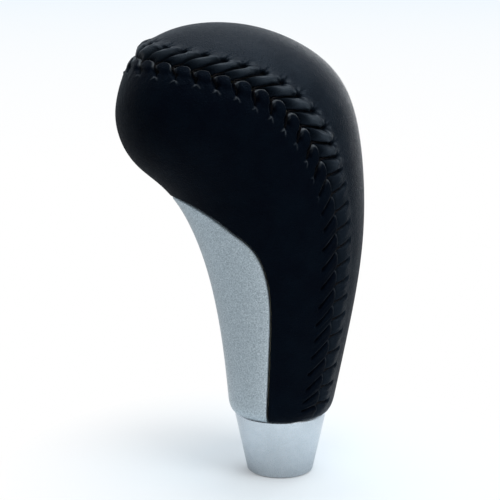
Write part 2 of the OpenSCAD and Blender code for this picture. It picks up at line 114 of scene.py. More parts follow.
def extended(q):
    """Points with one more at each end, straight on."""
    return np.concatenate([[2 * q[0] - q[1]], q, [2 * q[-1] - q[-2]]])


def through(points, passes=8):
    """Control points of the smooth cubic curve through a list of points, as in the part's source."""
    p = np.asarray(points, float)
    q = p.copy()
    for _ in range(passes):
        e = extended(q)
        q = q + p - (e[:-2] + 4 * q + e[2:]) / 6
    return extended(q)


def curve(e, x):
    """Place on such a curve, where x counts its points."""
    x = np.asarray(x, float)
    i = np.clip(np.floor(x).astype(int), 0, len(e) - 4)
    f = x - i
    if e.ndim == 2:
        f = f[..., None]
    g = 1 - f
    return (
        g**3 * e[i]
        + (3 * f**3 - 6 * f**2 + 4) * e[i + 1]
        + (3 * g**3 - 6 * g**2 + 4) * e[i + 2]
        + f**3 * e[i + 3]
    ) / 6


FOOT_R = GRIP_D / 2
HEAD_R = HEAD_W / 2
outline = (
    [(-lerp(FOOT_R, NOSE_REACH, a), lerp(COLLAR_H, NOSE_Z, b)) for a, b in FRONT_LINE]
    + [(lerp(-NOSE_REACH, BACK_REACH, a), BACK_Z + (KNOB_H - BACK_Z) * b) for a, b in CROWN_LINE]
    + [(lerp(FOOT_R, BACK_REACH, a), lerp(COLLAR_H, BACK_Z, b)) for a, b in BACK_LINE]
)
HALF_STEPS = (len(outline) - 1) // 2
outline_curve = through(outline)
width_curve = through(
    [lerp(FOOT_R, HEAD_R, f) for f in GRIP_WIDTHS] + [HEAD_R * f for f in HEAD_WIDTHS]
)
FOOT_SHARE = FOOT_ROUND_H / (outline[1][1] - outline[0][1]) / HALF_STEPS
# On the chart, the nose is the middle and the foot is the circle of radius 1
CHART_STEP = 0.002
FOOT_EDGE = 1 - 1e-5


def chart(rho, angle):
    """Place of the flat chart at a distance from the nose and an angle in degrees from the back."""
    a = np.radians(angle)
    return np.stack([rho * np.cos(a), rho * np.sin(a)], -1)


def skin(c):
    """Point of the plain skin, in millimetres, at a place of the chart."""
    rho = np.hypot(c[..., 0], c[..., 1])
    angle = np.arctan2(c[..., 1], c[..., 0])
    s = (1 - rho) * HALF_STEPS
    front = curve(outline_curve, s)
    back = curve(outline_curve, 2 * HALF_STEPS - s)
    middle = (front + back) / 2
    reach = (back - front) / 2
    half_width = curve(width_curve, s)
    return np.stack(
        [
            middle[..., 0] + reach[..., 0] * np.cos(angle),
            -half_width * np.sin(angle),
            middle[..., 1] + reach[..., 1] * np.cos(angle),
        ],
        -1,
    )


def inward(c):
    """Direction from the skin into the knob."""
    du = np.array([CHART_STEP, 0.0])
    dv = np.array([0.0, CHART_STEP])
    n = np.cross(skin(c + du) - skin(c - du), skin(c + dv) - skin(c - dv))
    return n / np.linalg.norm(n, axis=-1, keepdims=True)


def below_skin(c, depth):
    """Point at a depth below the skin, which is rolled in round the foot and ends flat there."""
    rho = np.hypot(c[..., 0], c[..., 1])
    k = np.clip(1 - (1 - rho) / FOOT_SHARE, 0, 1)
    roll = FOOT_ROUND * (1 - np.sqrt(1 - k * k))
    p = skin(c) + (depth + roll)[..., None] * inward(c)
    p[..., 2] = np.where(rho > FOOT_EDGE, COLLAR_H, p[..., 2])
    return p


def chart_curve(line):
    """Curve through a line's places, which meets the chart's axis at a right angle."""
    points = [chart(r, a) for r, a in line]
    before = points[-2]
    points.append(np.array([before[0], -before[1]]))
    return through(points)


seam_curve = chart_curve(SEAM_LINE)
trim_curve = chart_curve(TRIM_LINE)
LINE_STEPS = len(SEAM_LINE) - 1


def above_axis(p):
    return np.stack([p[..., 0], np.maximum(p[..., 1], 0)], -1)


# Places on the chart's lines, where t goes from 0 at the foot to 1 at the nose's end of the seam
def seam_at(t):
    return above_axis(curve(seam_curve, np.asarray(t) * LINE_STEPS))


def trim_at(t):
    return above_axis(curve(trim_curve, np.asarray(t) * LINE_STEPS))


def length_of(c):
    return np.hypot(c[..., 0], c[..., 1])


def back_at(t):
    u = length_of(seam_at(t)) + BACK_TIP * ease(2 * t - 1)
    return np.stack([u, np.zeros_like(u)], -1)


def front_at(t):
    u = -length_of(trim_at(t)) - TRIM_TIP * ease(2 * t - 1)
    return np.stack([u, np.zeros_like(u)], -1)


def turned(a, b, w):
    """Place at share w of the way from a to b round the nose."""
    rho = lerp(length_of(a), length_of(b), w)
    angle = lerp(np.arctan2(a[..., 1], a[..., 0]), np.arctan2(b[..., 1], b[..., 0]), w)
    return chart(rho, np.degrees(angle))


def across(cover, t, w):
    """Place at share w of the way across a cover. Near the nose, the side panel's rows run
    straight over the chart instead of round the nose."""
    if cover == BACK:
        return turned(seam_at(t), back_at(t), w)
    if cover == TRIM:
        return turned(trim_at(t), front_at(t), w)
    a, b = seam_at(t), trim_at(t)
    return lerp(turned(a, b, w), lerp(a, b, w[..., None]), ease(2 * t - STRAIGHT_START)[..., None])


PROBE = 0.02


def speed(cover, t, w):
    """Millimetres across a cover for each whole width of it."""
    step = np.where(w > 0.5, -PROBE, PROBE)
    a = skin(across(cover, t, w + step)) - skin(across(cover, t, w))
    return np.linalg.norm(a, axis=-1) / PROBE


# Length along the seam, from the foot to the nose
ARC_STEPS = 640
arc_t = np.linspace(0, 1, ARC_STEPS + 1)
arc_points = skin(seam_at(arc_t))
arc_a = np.concatenate([[0], np.cumsum(np.linalg.norm(np.diff(arc_points, axis=0), axis=1))])
HALF_SEAM = arc_a[-1]
STITCHES = 2 * round(HALF_SEAM / STITCH_PITCH)
PITCH = 2 * HALF_SEAM / STITCHES


def between(a, start, end):
    return ease((a - start) / (end - start))


def slant(cover, a):
    """Distance that a cover's gathers lean along the seam on their way to the needle hole."""
    ends = between(a, 0, SLANT_START) * between(HALF_SEAM - a, 0, SLANT_START)
    if cover == SIDE:
        grip, bend, head = SIDE_SLANTS
        lean = lerp(grip, bend, between(a, BEND_START, HEAD_START))
        lean = lerp(lean, head, between(a, HEAD_END, CROWN_START))
    elif cover == BACK:
        lean = lerp(*BACK_SLANTS, between(a, HEAD_START, HEAD_END))
    else:
        lean = 0 * a
    return STITCH_PITCH * ends * lean


class Cover:
    """Places on one cover, in columns that run along the seam from the near foot over the nose to
    the far foot. A row is a distance from the cover's first edge and a share of the way across."""

    def __init__(self, cover, shares):
        self.cover = cover
        self.column = np.asarray(shares, float)
        u = 2 * np.minimum(self.column, 1 - self.column)
        self.near = HALF_SEAM * u * (1 - PITCH_SPREAD * (1 - u))
        self.run = np.where(self.column <= 0.5, self.near, 2 * HALF_SEAM - self.near)
        self.side = np.where(self.column <= 0.5, 1.0, -1.0)
        self.phase = self.column * STITCHES
        self.over = between(self.near, HEAD_START, HEAD_END)

    def place(self, d, share=0.0, end=0.0, push=0.0):
        """Chart places at distance d from the first edge, or at a share of the rest of the way to
        distance end from the second edge. Push moves them off the first edge."""
        lean = min(d / HOLE_REACH, 1) * (1 - share)
        a = np.clip(self.near + slant(self.cover, self.near) * lean, 0, HALF_SEAM)
        t = np.interp(a, arc_a, arc_t)
        zero = np.zeros_like(t)
        start = (d + push) / speed(self.cover, t, zero)
        stop = 1 - end / speed(self.cover, t, zero + 1)
        c = across(self.cover, t, lerp(start, stop, share))
        return np.stack([c[:, 0], c[:, 1] * self.side], -1)


def shell(name, outer, inner, folds, highlights=()):
    """Closed shell between an outer and an inner sheet of rows. A folding cover's last rows close
    on themselves, and another's are joined by a wall."""
    count = len(outer[0])
    n_outer, n_inner = len(outer), len(inner)
    points = np.concatenate(outer + inner)
    i = np.arange(count - 1)

    def strip(a, b):
        return np.stack([a * count + i, a * count + i + 1, b * count + i + 1, b * count + i], -1)

    quads = [strip(r, r + 1) for r in range(n_outer - 1)]
    quads += [strip(r + 1, r) for r in range(n_outer, n_outer + n_inner - 1)]
    quads.append(strip(n_outer, 0))
    if not folds:
        quads.append(strip(n_outer - 1, n_outer + n_inner - 1))
    faces = [tuple(f) for f in np.concatenate(quads).tolist()]
    for end in (0, count - 1):
        ring = [r * count + end for r in range(n_outer)]
        ring += [r * count + end for r in range(n_outer + n_inner - 1, n_outer - 1, -1)]
        faces.append(tuple(ring))
    painted_highlight = np.zeros(len(points))
    for r, row in enumerate(highlights):
        painted_highlight[r * count:(r + 1) * count] = row
    return mesh_piece(name, points, faces, painted_highlight)


MERGE_REACH = 1e-7


def mesh_piece(name, points, faces, painted_highlight=None):
    """Smooth object from points in millimetres, with the painted highlight of each as a vertex
    attribute.
    """
    mesh = bpy.data.meshes.new(name)
    mesh.from_pydata((np.asarray(points) * MM).tolist(), [], faces)
    form = bmesh.new()
    form.from_mesh(mesh)
    if painted_highlight is not None:
        layer = form.verts.layers.float.new("painted_highlight")
        for vert, value in zip(form.verts, np.clip(painted_highlight, 0, 1)):
            vert[layer] = value
    bmesh.ops.remove_doubles(form, verts=form.verts, dist=MERGE_REACH)
    bmesh.ops.recalc_face_normals(form, faces=form.faces)
    form.to_mesh(mesh)
    form.free()
    for face in mesh.polygons:
        face.use_smooth = True
    obj = bpy.data.objects.new(name, mesh)
    bpy.context.scene.collection.objects.link(obj)
    return obj


# Smooth seeded noise
NOISE_CELLS = 256


def field_noise(u, v, seed):
    """Noise on a flat field, from -1 to 1."""
    table = np.random.default_rng(seed).uniform(-1, 1, (NOISE_CELLS, NOISE_CELLS))
    iu, iv = np.floor(u).astype(int), np.floor(v).astype(int)
    fu, fv = ease(u - iu), ease(v - iv)
    u0, u1, v0, v1 = (i % NOISE_CELLS for i in (iu, iu + 1, iv, iv + 1))
    near = lerp(table[u0, v0], table[u1, v0], fu)
    far = lerp(table[u0, v1], table[u1, v1], fu)
    return lerp(near, far, fv)


# Rows and columns of the leather's meshes, and the rolled edge next to the trim
COLUMNS_PER_STITCH = 20
GATHER_COLUMNS = np.linspace(0, 1, STITCHES * COLUMNS_PER_STITCH + 1)
GATHER_ROWS = [
    0, 0.05, 0.12, 0.22, 0.36, 0.54, 0.76, 1.02, 1.32, 1.65, 2.0, 2.35, 2.7, 3.0, 3.3, 3.6,
    3.9, 4.15, 4.4, 4.65, 4.95, 5.25, 5.55, 5.9, 6.35, GATHER_REACH,
]
SIDE_ROWS = 30
BACK_ROWS = 24
SIDE_SEED = 11
BACK_SEED = 23
UNDER_START = 0.9
UNDER_SHARES = [0, 0.25, 0.5, 0.75, 1]
ROLL_ENDS = [0.6, 0.42, 0.28, 0.16, 0.07, 0.0]
ROLL_R = 0.6

# Below, the gathers have sizes in millimetres. A pair is a size on the grip and one on the head, or
# the start and the end of a change, measured from the seam or from the needle hole.
# Needle holes: their shift on the head, and their form
HEAD_HOLE_SHIFT = {SIDE: -0.7, BACK: 0.9}
HOLE_R = 0.5
HOLE_CENTRE = -0.1
HOLE_DEPTH = 0.5
BACK_HOLE_SHARES = (1, 1.5)
# Lobes of the side panel: arcs on the grip, and on the head discs with their centres below the seam
ARC_REACH = 1.15
ARC_START = 0.3
ARC_HEIGHTS = {SIDE: 0.4, BACK: 0.45}
ARC_FADE = (2.4, 6.4)
DISC_R = 2.1
DISC_CENTRE = 0.9
DISC_NOTCH = 0.4
DISC_SLOPE = 0.7
DISC_HEIGHT = 0.5
DISC_FADE = (1.2, 3.4)
BEAD_HEIGHT = 0.12
BEAD_PLACE = 0.4
BEAD_WIDTH = 0.25
# Edges: how far the lobes push them, how they tuck in, and how far the back's edge stays below
PUSH_REACH = 3.4
BACK_EDGE_COVERED = 0.35
EDGE_ROUND = {SIDE: 0.3, BACK: 0.7}
EDGE_TUCK = {SIDE: 0.85, BACK: 1.15}
# Pads of the back panel
PAD_HEIGHT = 1.65
PAD_POWER = 1.7
PAD_RISES = (3.2, 2.4)
PAD_FADE = (3.9, 7.3)
# Valleys at the stitches
DEEPEST = 1.5
VALLEY_DEPTHS = (0.95, 1.25)
VALLEY_POWERS = (1.8, 3.6)
VALLEY_AT_EDGE = 0.55
VALLEY_END = (-0.3, 0.3)
VALLEY_WIDTH = 0.42
LEAST_CHORD = 1.0
PIT_WIDTH = 1.05
PIT_TAPER = 0.7
PIT_TAPER_RANGE = (2.2, 3.7)
PIT_START = 1.3
CREASE_WIDTHS = (0.5, 0.92)
CREASE_WIDENS = (2.4, 4.6)
# Lip above each hole on the grip, and ridges and wrinkles round the holes on the head
LIP_HEIGHT = 0.22
LIP_WIDTH = 0.6
LIP_PLACE = 0.75
LIP_LENGTH = 0.3
LEG_HEIGHT = 0.5
LEG_LEAN = 0.3
LEG_SPREAD = 0.8
LEG_START = 0.05
LEG_WIDTH = 0.18
LEG_GROWS = (-0.2, 0.2)
LEG_FADES = (0.5, 1.4)
SPOKES = 6
SPOKE_HEIGHT = 0.26
SPOKE_CENTRE = -0.3
SPOKE_REACH = 1.3
SPOKE_WIDTH = 0.7
# Painted highlights, a lighter colour where light catches: the lobes' edges, the discs' rims, the
# valleys' upper sides, the ridges and wrinkles round the holes, and the pads
EDGE_HIGHLIGHT = (0.3, 1.1)
EDGE_HIGHLIGHT_PLACE = 0.24
EDGE_HIGHLIGHT_WIDTH = 0.18
RIM_HIGHLIGHT = 0.55
RIM_HIGHLIGHT_PLACE = 0.12
RIM_HIGHLIGHT_WIDTH = 0.16
RIM_HIGHLIGHT_FADES = (0.6, 1.8)
SLOT_HIGHLIGHT = 0.3
SLOT_HIGHLIGHT_PLACE = 0.62
SLOT_HIGHLIGHT_WIDTH = 0.2
SLOT_HIGHLIGHT_GROWS = (0, 0.6)
SLOT_HIGHLIGHT_FADES = (-1.6, -0.4)
LEG_HIGHLIGHT = 0.65
SPOKE_HIGHLIGHT = 0.5
PAD_HIGHLIGHT = 0.45
PAD_HIGHLIGHT_GROWS = (0.8, 2.8)
PAD_HIGHLIGHT_FADES = (-1.7, 0.3)
# Wrinkles and the light wave of the whole cover
WRINKLE_HEIGHT = 0.09
WRINKLE_LENGTH = 0.75
WRINKLE_REACH = 2.6
WRINKLE_SHIFT = 7
WRINKLE_GROWS = (0, 2)
WRINKLE_FADES = (4.5, 6.6)
WAVE_HEIGHT = 0.07
WAVE_LENGTH = 9.0
WAVE_ROWS = 5.0
WAVE_SHIFT = 3
WAVE_GROWTH = 4
# Where the gathers grow smaller: round the nose's tip, and down to the foot
TIP_SIZE = 0.5
FOOT_SIZE = 0.15
FOOT_RANGE = (0.6, 3.6)
# Spread of the random differences between stitches and between lobes
DEPTH_SPREAD = 0.12
HOLE_SPREAD = 0.2
SWELL_SPREAD = 0.25
BULGE_SPREAD = 0.18
ARC_BULGE = 0.6
DISC_BULGE = 0.3
PULL_RANGE = (0.35, 1)
SLACK_RANGE = (0.85, 1.5)


def bell(x, width):
    return np.exp(-((x / width) ** 2))


class Gathers:
    """Form of the leather near the lacing, at each column of a cover. Here d is a row's distance
    from the seam, beyond is its distance past the needle hole, and over is 0 on the grip and 1 on
    the head."""

    def __init__(self, places, seed):
        self.cover = places.cover
        self.over = places.over
        self.run = places.run
        self.seed = seed
        rng = np.random.default_rng(seed)
        stitch = np.round(places.phase).astype(int)
        lobe = np.minimum(np.floor(places.phase).astype(int), STITCHES - 1)

        def by_stitch(low, high):
            return rng.uniform(low, high, STITCHES + 1)[stitch]

        def by_lobe(low, high):
            return rng.uniform(low, high, STITCHES)[lobe]

        self.off = (places.phase - stitch) * PITCH
        self.share = 2 * (places.phase - lobe) - 1
        self.arc = np.sqrt(np.maximum(1 - self.share**2, 0))
        self.depth = 1 + by_stitch(-DEPTH_SPREAD, DEPTH_SPREAD)
        hole = HOLE_REACH + HEAD_HOLE_SHIFT[self.cover] * self.over
        self.hole = hole + by_stitch(-HOLE_SPREAD, HOLE_SPREAD)
        self.swell = 1 + by_lobe(-SWELL_SPREAD, SWELL_SPREAD)
        self.bulge = by_lobe(-BULGE_SPREAD, BULGE_SPREAD)
        self.turn = by_stitch(0, 2 * np.pi)
        self.pull = by_stitch(*PULL_RANGE)
        self.lean = by_stitch(-1, 1)
        self.slack = by_stitch(*SLACK_RANGE)
        self.above = self.off * places.side
        self.tip = lerp(TIP_SIZE, 1, between(HALF_SEAM - places.near, 0, SLANT_START))
        self.dome = 1 - np.abs(self.share) ** PAD_POWER
        self.foot = lerp(FOOT_SIZE, 1, between(places.near, *FOOT_RANGE))

    def scallop(self):
        """Reach of the side panel's lobes past the seam, over the back panel."""
        u = self.share * PITCH / 2
        disc_r = DISC_R * (1 + DISC_BULGE * self.bulge)
        disc = np.sqrt(np.maximum(disc_r**2 - u**2, 0)) - DISC_CENTRE
        arc = ARC_REACH * self.arc * (1 + ARC_BULGE * self.bulge) - ARC_START
        return lerp(arc, np.maximum(disc, -DISC_NOTCH), self.over)

    def push(self, d):
        """Distance that a row moves away from the seam."""
        reach = self.scallop()
        if self.cover == BACK:
            reach = -np.maximum(reach - BACK_EDGE_COVERED, 0)
        return -reach * (1 - ease(d / PUSH_REACH)) * self.foot

    def width(self, d):
        """Half the width of the valley at a stitch."""
        if self.cover == SIDE:
            chord = np.sqrt(np.maximum(DISC_R**2 - (d - DISC_CENTRE) ** 2, LEAST_CHORD**2))
            top = PITCH / 2 - chord
            pit = PIT_WIDTH * (1 - PIT_TAPER * between(d, *PIT_TAPER_RANGE))
            below = lerp(top, pit, ease((d - DISC_CENTRE) / PIT_START))
            head = np.where(d < DISC_CENTRE, top, below)
        else:
            head = self.slack * lerp(*CREASE_WIDTHS, between(d, *CREASE_WIDENS))
        return lerp(VALLEY_WIDTH, head, self.over)

    def valley(self, d):
        """Share of the valley's depth."""
        power = lerp(*VALLEY_POWERS, self.over)
        return np.exp(-((np.abs(self.off) / self.width(d)) ** power))

    def legs(self, beyond):
        """Ridges that run from the needle hole on both sides, as the thread pulls the leather."""
        middle = np.abs(self.off + LEG_LEAN * self.lean) - LEG_SPREAD * (beyond - LEG_START)
        fade = between(beyond, *LEG_GROWS) * (1 - between(beyond, *LEG_FADES))
        return self.over * self.pull * bell(middle, LEG_WIDTH) * fade

    def spokes(self, beyond):
        """Small wrinkles around the back panel's needle holes."""
        outward = beyond - SPOKE_CENTRE
        reach = np.hypot(self.off, outward)
        turns = np.sin(SPOKES * np.arctan2(self.off, outward) + self.turn)
        return self.over * turns * bell(reach - SPOKE_REACH, SPOKE_WIDTH)

    def painted_highlight(self, d):
        """Lightness of the painted highlights, from 0 to 1, where rims, ridges and pads would catch
        light.
        """
        if self.cover == SIDE:
            return self.side_highlight(d, d + self.push(d), d - self.hole)
        return self.back_highlight(d, d - self.hole)

    # Painted highlights of the side panel: bright lobe edges, disc rims, valley sides and glints on
    # the ridges at the holes
    def side_highlight(self, d, real, beyond):
        edge = bell(d - EDGE_HIGHLIGHT_PLACE, EDGE_HIGHLIGHT_WIDTH) * (1 - self.valley(d))
        rim = bell(np.abs(self.off) - self.width(real) - RIM_HIGHLIGHT_PLACE, RIM_HIGHLIGHT_WIDTH)
        rim = RIM_HIGHLIGHT * rim * (1 - between(real, *RIM_HIGHLIGHT_FADES))
        slot = bell(self.above - SLOT_HIGHLIGHT_PLACE, SLOT_HIGHLIGHT_WIDTH) * between(d, *SLOT_HIGHLIGHT_GROWS)
        slot = SLOT_HIGHLIGHT * slot * (1 - between(beyond, *SLOT_HIGHLIGHT_FADES))
        highlights = lerp(*EDGE_HIGHLIGHT, self.over) * edge + lerp(slot, rim, self.over)
        return highlights + LEG_HIGHLIGHT * self.legs(beyond)

    # Painted highlights of the back panel: the middle of the pads and the wrinkles round the holes
    def back_highlight(self, d, beyond):
        pad = between(d, *PAD_HIGHLIGHT_GROWS) * (1 - between(beyond, *PAD_HIGHLIGHT_FADES))
        pad = PAD_HIGHLIGHT * self.over * pad * self.dome**2 * self.tip
        return (pad + SPOKE_HIGHLIGHT * np.maximum(self.spokes(beyond), 0)) * (1 - self.valley(d))

    def side_lobes(self, d, real, near_edge):
        """Height of the side panel's lobes: arcs on the grip and beaded discs on the head."""
        arc = ARC_HEIGHTS[SIDE] * self.arc * (1 - between(d, *ARC_FADE))
        from_rim = DISC_R - np.hypot(self.share * PITCH / 2, real - DISC_CENTRE)
        disc = DISC_HEIGHT * ease(from_rim / DISC_SLOPE)
        disc = disc + BEAD_HEIGHT * bell(d - BEAD_PLACE, BEAD_WIDTH)
        lobes = lerp(arc, disc * (1 - between(real, *DISC_FADE)), self.over)
        return self.tip * self.swell * lobes * near_edge

    def back_pads(self, d):
        """Height of the back panel's pads between the stitches."""
        form = lerp(ARC_HEIGHTS[BACK] * self.arc, PAD_HEIGHT * self.dome, self.over)
        rise = ease(d / lerp(*PAD_RISES, self.over))
        fade = lerp(1 - between(d, *ARC_FADE), 1 - between(d, *PAD_FADE), self.over)
        return self.tip * self.swell * form * rise * fade

    def height(self, d):
        """Height of the leather above the plain skin."""
        beyond = d - self.hole
        near_edge = 1 - np.exp(-d / EDGE_ROUND[self.cover])
        pit = HOLE_DEPTH * bell(self.off, HOLE_R) * bell(beyond - HOLE_CENTRE, HOLE_R)
        lip = bell(self.off, LIP_WIDTH) * bell(beyond - LIP_PLACE, LIP_LENGTH)
        lip = LIP_HEIGHT * lip * (1 - self.over)
        if self.cover == SIDE:
            real = d + self.push(d)
            pillow = self.side_lobes(d, real, near_edge)
            lip = lip + LEG_HEIGHT * self.legs(beyond)
        else:
            real = d
            pillow = self.back_pads(d)
            lip = lip + SPOKE_HEIGHT * self.spokes(beyond)
            pit = pit * lerp(*BACK_HOLE_SHARES, self.over)
        along = between(self.hole - d, *VALLEY_END)
        cut = lerp(*VALLEY_DEPTHS, self.over) * self.depth * self.valley(real) * along
        cut = cut * lerp(VALLEY_AT_EDGE, 1, near_edge)
        along_seam = self.run / WRINKLE_LENGTH + WRINKLE_SHIFT
        rows = np.full_like(self.run, d / WRINKLE_REACH)
        wrinkle = WRINKLE_HEIGHT * field_noise(along_seam, rows, self.seed + 1)
        wrinkle = wrinkle * between(d, *WRINKLE_GROWS) * (1 - between(d, *WRINKLE_FADES))
        tuck = EDGE_TUCK[self.cover] * (1 - near_edge)
        h = self.foot * (pillow + wrinkle - tuck - cut - pit + lip)
        return np.where(h < 0, -DEEPEST * np.tanh(-h / DEEPEST), h)


def wave(run, share, seed):
    """Light wave of the plain leather, which grows from nothing next to the gathers."""
    rows = np.full_like(run, share * WAVE_ROWS + WAVE_SHIFT)
    return WAVE_HEIGHT * field_noise(run / WAVE_LENGTH, rows, seed) * ease(WAVE_GROWTH * share)


def leather_rows(cover, row_count, end, seed):
    """Places of a cover's columns, its outer and inner rows of points and the outer rows' painted
    highlight.
    """
    places = Cover(cover, GATHER_COLUMNS)
    gathers = Gathers(places, seed)
    under = np.full_like(places.run, COVER_T)
    outer, highlights = [], []
    for d in GATHER_ROWS:
        c = places.place(d, push=gathers.push(d) + SEAM_GAP / 2)
        outer.append(below_skin(c, -gathers.height(d)))
        highlights.append(gathers.painted_highlight(d))
    for k in range(1, row_count + 1):
        share = k / row_count
        c = places.place(GATHER_REACH, share, end)
        outer.append(below_skin(c, wave(places.run, share, seed + 2) * (share - 1)))
    inner = [below_skin(places.place(UNDER_START), under)]
    for share in UNDER_SHARES:
        inner.append(below_skin(places.place(GATHER_REACH, share, end), under))
    return places, outer, inner, highlights


def rolled_sag(e):
    """Depth of a rolled edge at distance e from its end."""
    return ROLL_R - math.sqrt(max(ROLL_R**2 - (ROLL_R - e) ** 2, 0))


def side_leather():
    end = TRIM_GAP / 2 + TRIM_ROLL
    places, outer, inner, highlights = leather_rows(SIDE, SIDE_ROWS, end, SIDE_SEED)
    flat = np.zeros_like(places.run)
    for e in ROLL_ENDS:
        c = places.place(GATHER_REACH, 1.0, e + TRIM_GAP / 2)
        outer.append(below_skin(c, flat + rolled_sag(e)))
    inner[-1] = below_skin(places.place(GATHER_REACH, 1.0, TRIM_GAP / 2), flat + COVER_T)
    piece = shell("side_leather", outer, inner, False, highlights)
    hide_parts("side_panel")
    return piece


def back_leather():
    places, outer, inner, highlights = leather_rows(BACK, BACK_ROWS, 0.0, BACK_SEED)
    piece = shell("back_leather", outer, inner, True, highlights)
    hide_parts("back_panel")
    return piece


# The silver trim and its bosses
BOSS_PLACES = [(0.78, 161), (0.78, -161), (0.6, 163), (0.6, -163)]
BOSS_D = 3.0
BOSS_ROOT = 0.9
BOSS_L = 12.0
BOSS_SIDES = 32
TRIM_COLUMNS = 360
TRIM_ROWS = 24


def trim_shell():
    places = Cover(TRIM, np.linspace(0, 1, TRIM_COLUMNS + 1))
    flat = np.zeros_like(places.run)
    outer = []
    for e in reversed(ROLL_ENDS):
        outer.append(below_skin(places.place(e + TRIM_GAP / 2), flat + rolled_sag(e)))
    for k in range(1, TRIM_ROWS + 1):
        outer.append(below_skin(places.place(TRIM_ROLL, k / TRIM_ROWS), flat))
    inner = [below_skin(places.place(TRIM_GAP / 2), flat + COVER_T)]
    for share in UNDER_SHARES:
        inner.append(below_skin(places.place(TRIM_ROLL, share), flat + COVER_T))
    piece = shell("trim_shell", outer, inner, True)
    add_bosses(piece)
    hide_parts("front_trim")
    return piece


def add_bosses(piece):
    form = bmesh.new()
    form.from_mesh(piece.data)
    length = BOSS_L - BOSS_ROOT
    for rho, angle in BOSS_PLACES:
        root = skin(chart(rho, angle)) + np.array([BOSS_ROOT, 0, 0])
        middle = root + np.array([length / 2, 0, 0])
        place = Matrix.Translation(Vector(middle) * MM) @ Matrix.Rotation(math.pi / 2, 4, "Y")
        bmesh.ops.create_cone(
            form, cap_ends=True, segments=BOSS_SIDES, radius1=BOSS_D / 2 * MM,
            radius2=BOSS_D / 2 * MM, depth=length * MM, matrix=place,
        )
    form.to_mesh(piece.data)
    form.free()


# The lacing thread, two plies twisted round each other
PLY_R = 0.17
PLY_OFFSET = 0.8 * PLY_R
PLY_TURNS = 4
THREAD_STEPS = 30
THREAD_SIDES = 8
# Places along a stitch: the cover, the share of the way to the needle hole and the depth below the
# skin, on the grip and on the head
STITCH_LINE = [
    (SIDE, 0.99, 1.35, 1.3), (SIDE, 0.9, 0.9, 1.1), (SIDE, 0.66, 0.75, 0.95), (SIDE, 0.32, 0.7, 0.6),
    (SIDE, 0.05, 0.6, 0.5), (BACK, 0.18, 0.6, 0.65), (BACK, 0.41, 0.6, 0.85), (BACK, 0.7, 0.65, 0.95),
    (BACK, 0.93, 0.8, 1.05), (BACK, 1.02, 1.35, 1.35),
]
# A direction that no stitch runs along
SLOPING = (0.37, 0.61, 0.7)


def stitch_paths():
    shares = np.arange(1, STITCHES) / STITCHES
    covers = {cover: Cover(cover, shares) for cover in (SIDE, BACK)}
    stations = []
    for cover, part, on_grip, on_head in STITCH_LINE:
        places = covers[cover]
        c = places.place(part * HOLE_REACH, push=part * HEAD_HOLE_SHIFT[cover] * places.over)
        stations.append(below_skin(c, lerp(on_grip, on_head, places.over)))
    steps = np.linspace(0, len(STITCH_LINE) - 1, THREAD_STEPS)
    return [curve(through(line), steps) for line in np.stack(stations, 1)]


def directions_across(path):
    """Two directions across a path at each of its points."""
    tangent = np.gradient(path, axis=0)
    tangent /= np.linalg.norm(tangent, axis=1, keepdims=True)
    up = np.cross(tangent, SLOPING)
    up /= np.linalg.norm(up, axis=1, keepdims=True)
    return up, np.cross(tangent, up)


def tube(path, radius, points, faces):
    """Adds a round tube with closed ends along a path to the lists of points and faces."""
    first = len(points)
    up, side = directions_across(path)
    angle = np.linspace(0, 2 * np.pi, THREAD_SIDES, endpoint=False)[None, :, None]
    ring = np.cos(angle) * up[:, None] + np.sin(angle) * side[:, None]
    points.extend((path[:, None] + radius * ring).reshape(-1, 3))
    last = len(points) - THREAD_SIDES
    for a in range(first, last, THREAD_SIDES):
        for i in range(THREAD_SIDES):
            b = (i + 1) % THREAD_SIDES
            faces.append((a + i, a + b, a + THREAD_SIDES + b, a + THREAD_SIDES + i))
    faces.append(tuple(first + i for i in range(THREAD_SIDES)))
    faces.append(tuple(last + i for i in reversed(range(THREAD_SIDES))))


def lacing():
    points, faces = [], []
    for path in stitch_paths():
        up, side = directions_across(path)
        turn = np.linspace(0, 2 * np.pi * PLY_TURNS, len(path))[:, None]
        for ply in (0, np.pi):
            offset = np.cos(turn + ply) * up + np.sin(turn + ply) * side
            tube(path + PLY_OFFSET * offset, PLY_R, points, faces)
    piece = mesh_piece("lacing_thread", points, faces)
    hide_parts("seam_thread")
    return piece


# Node trees


class Tree:
    """A node tree, with short calls for the nodes used here."""

    def __init__(self, tree):
        self.tree = tree

    def new(self, kind):
        return self.tree.nodes.new("ShaderNode" + kind)

    def link(self, a, b):
        self.tree.links.new(a, b)

    def output(self, surface):
        end = next(node for node in self.tree.nodes if node.type.startswith("OUTPUT"))
        self.link(surface, end.inputs["Surface"])

    def coloured(self, kind, colour):
        """Plain shader of one colour."""
        node = self.new(kind)
        node.inputs["Color"].default_value = (*colour, 1)
        return node.outputs[0]

    def blend(self, share, first, second):
        """Shader that passes from the first to the second as share goes from 0 to 1."""
        node = self.new("MixShader")
        self.link(share, node.inputs["Fac"])
        self.link(first, node.inputs[1])
        self.link(second, node.inputs[2])
        return node.outputs[0]

    def math(self, operation, *values):
        node = self.new("Math")
        node.operation = operation
        for value, socket in zip(values, node.inputs):
            self.link(value, socket)
        return node.outputs[0]

    def apart(self, vector):
        node = self.new("SeparateXYZ")
        self.link(vector, node.inputs[0])
        return node.outputs

    def span(self, value, low, high, start=0.0, end=1.0, smooth=False):
        """From low to high as the value goes from start to end, and no further."""
        node = self.new("MapRange")
        if smooth:
            node.interpolation_type = "SMOOTHSTEP"
        node.inputs["From Min"].default_value = start
        node.inputs["From Max"].default_value = end
        node.inputs["To Min"].default_value = low
        node.inputs["To Max"].default_value = high
        self.link(value, node.inputs["Value"])
        return node.outputs["Result"]

    def ramp(self, value, stops):
        node = self.new("ValToRGB")
        elements = node.color_ramp.elements
        while len(elements) < len(stops):
            elements.new(0.5)
        for element, (place, colour) in zip(elements, stops):
            element.position = place
            element.color = (*colour, 1)
        self.link(value, node.inputs["Fac"])
        return node.outputs["Color"]


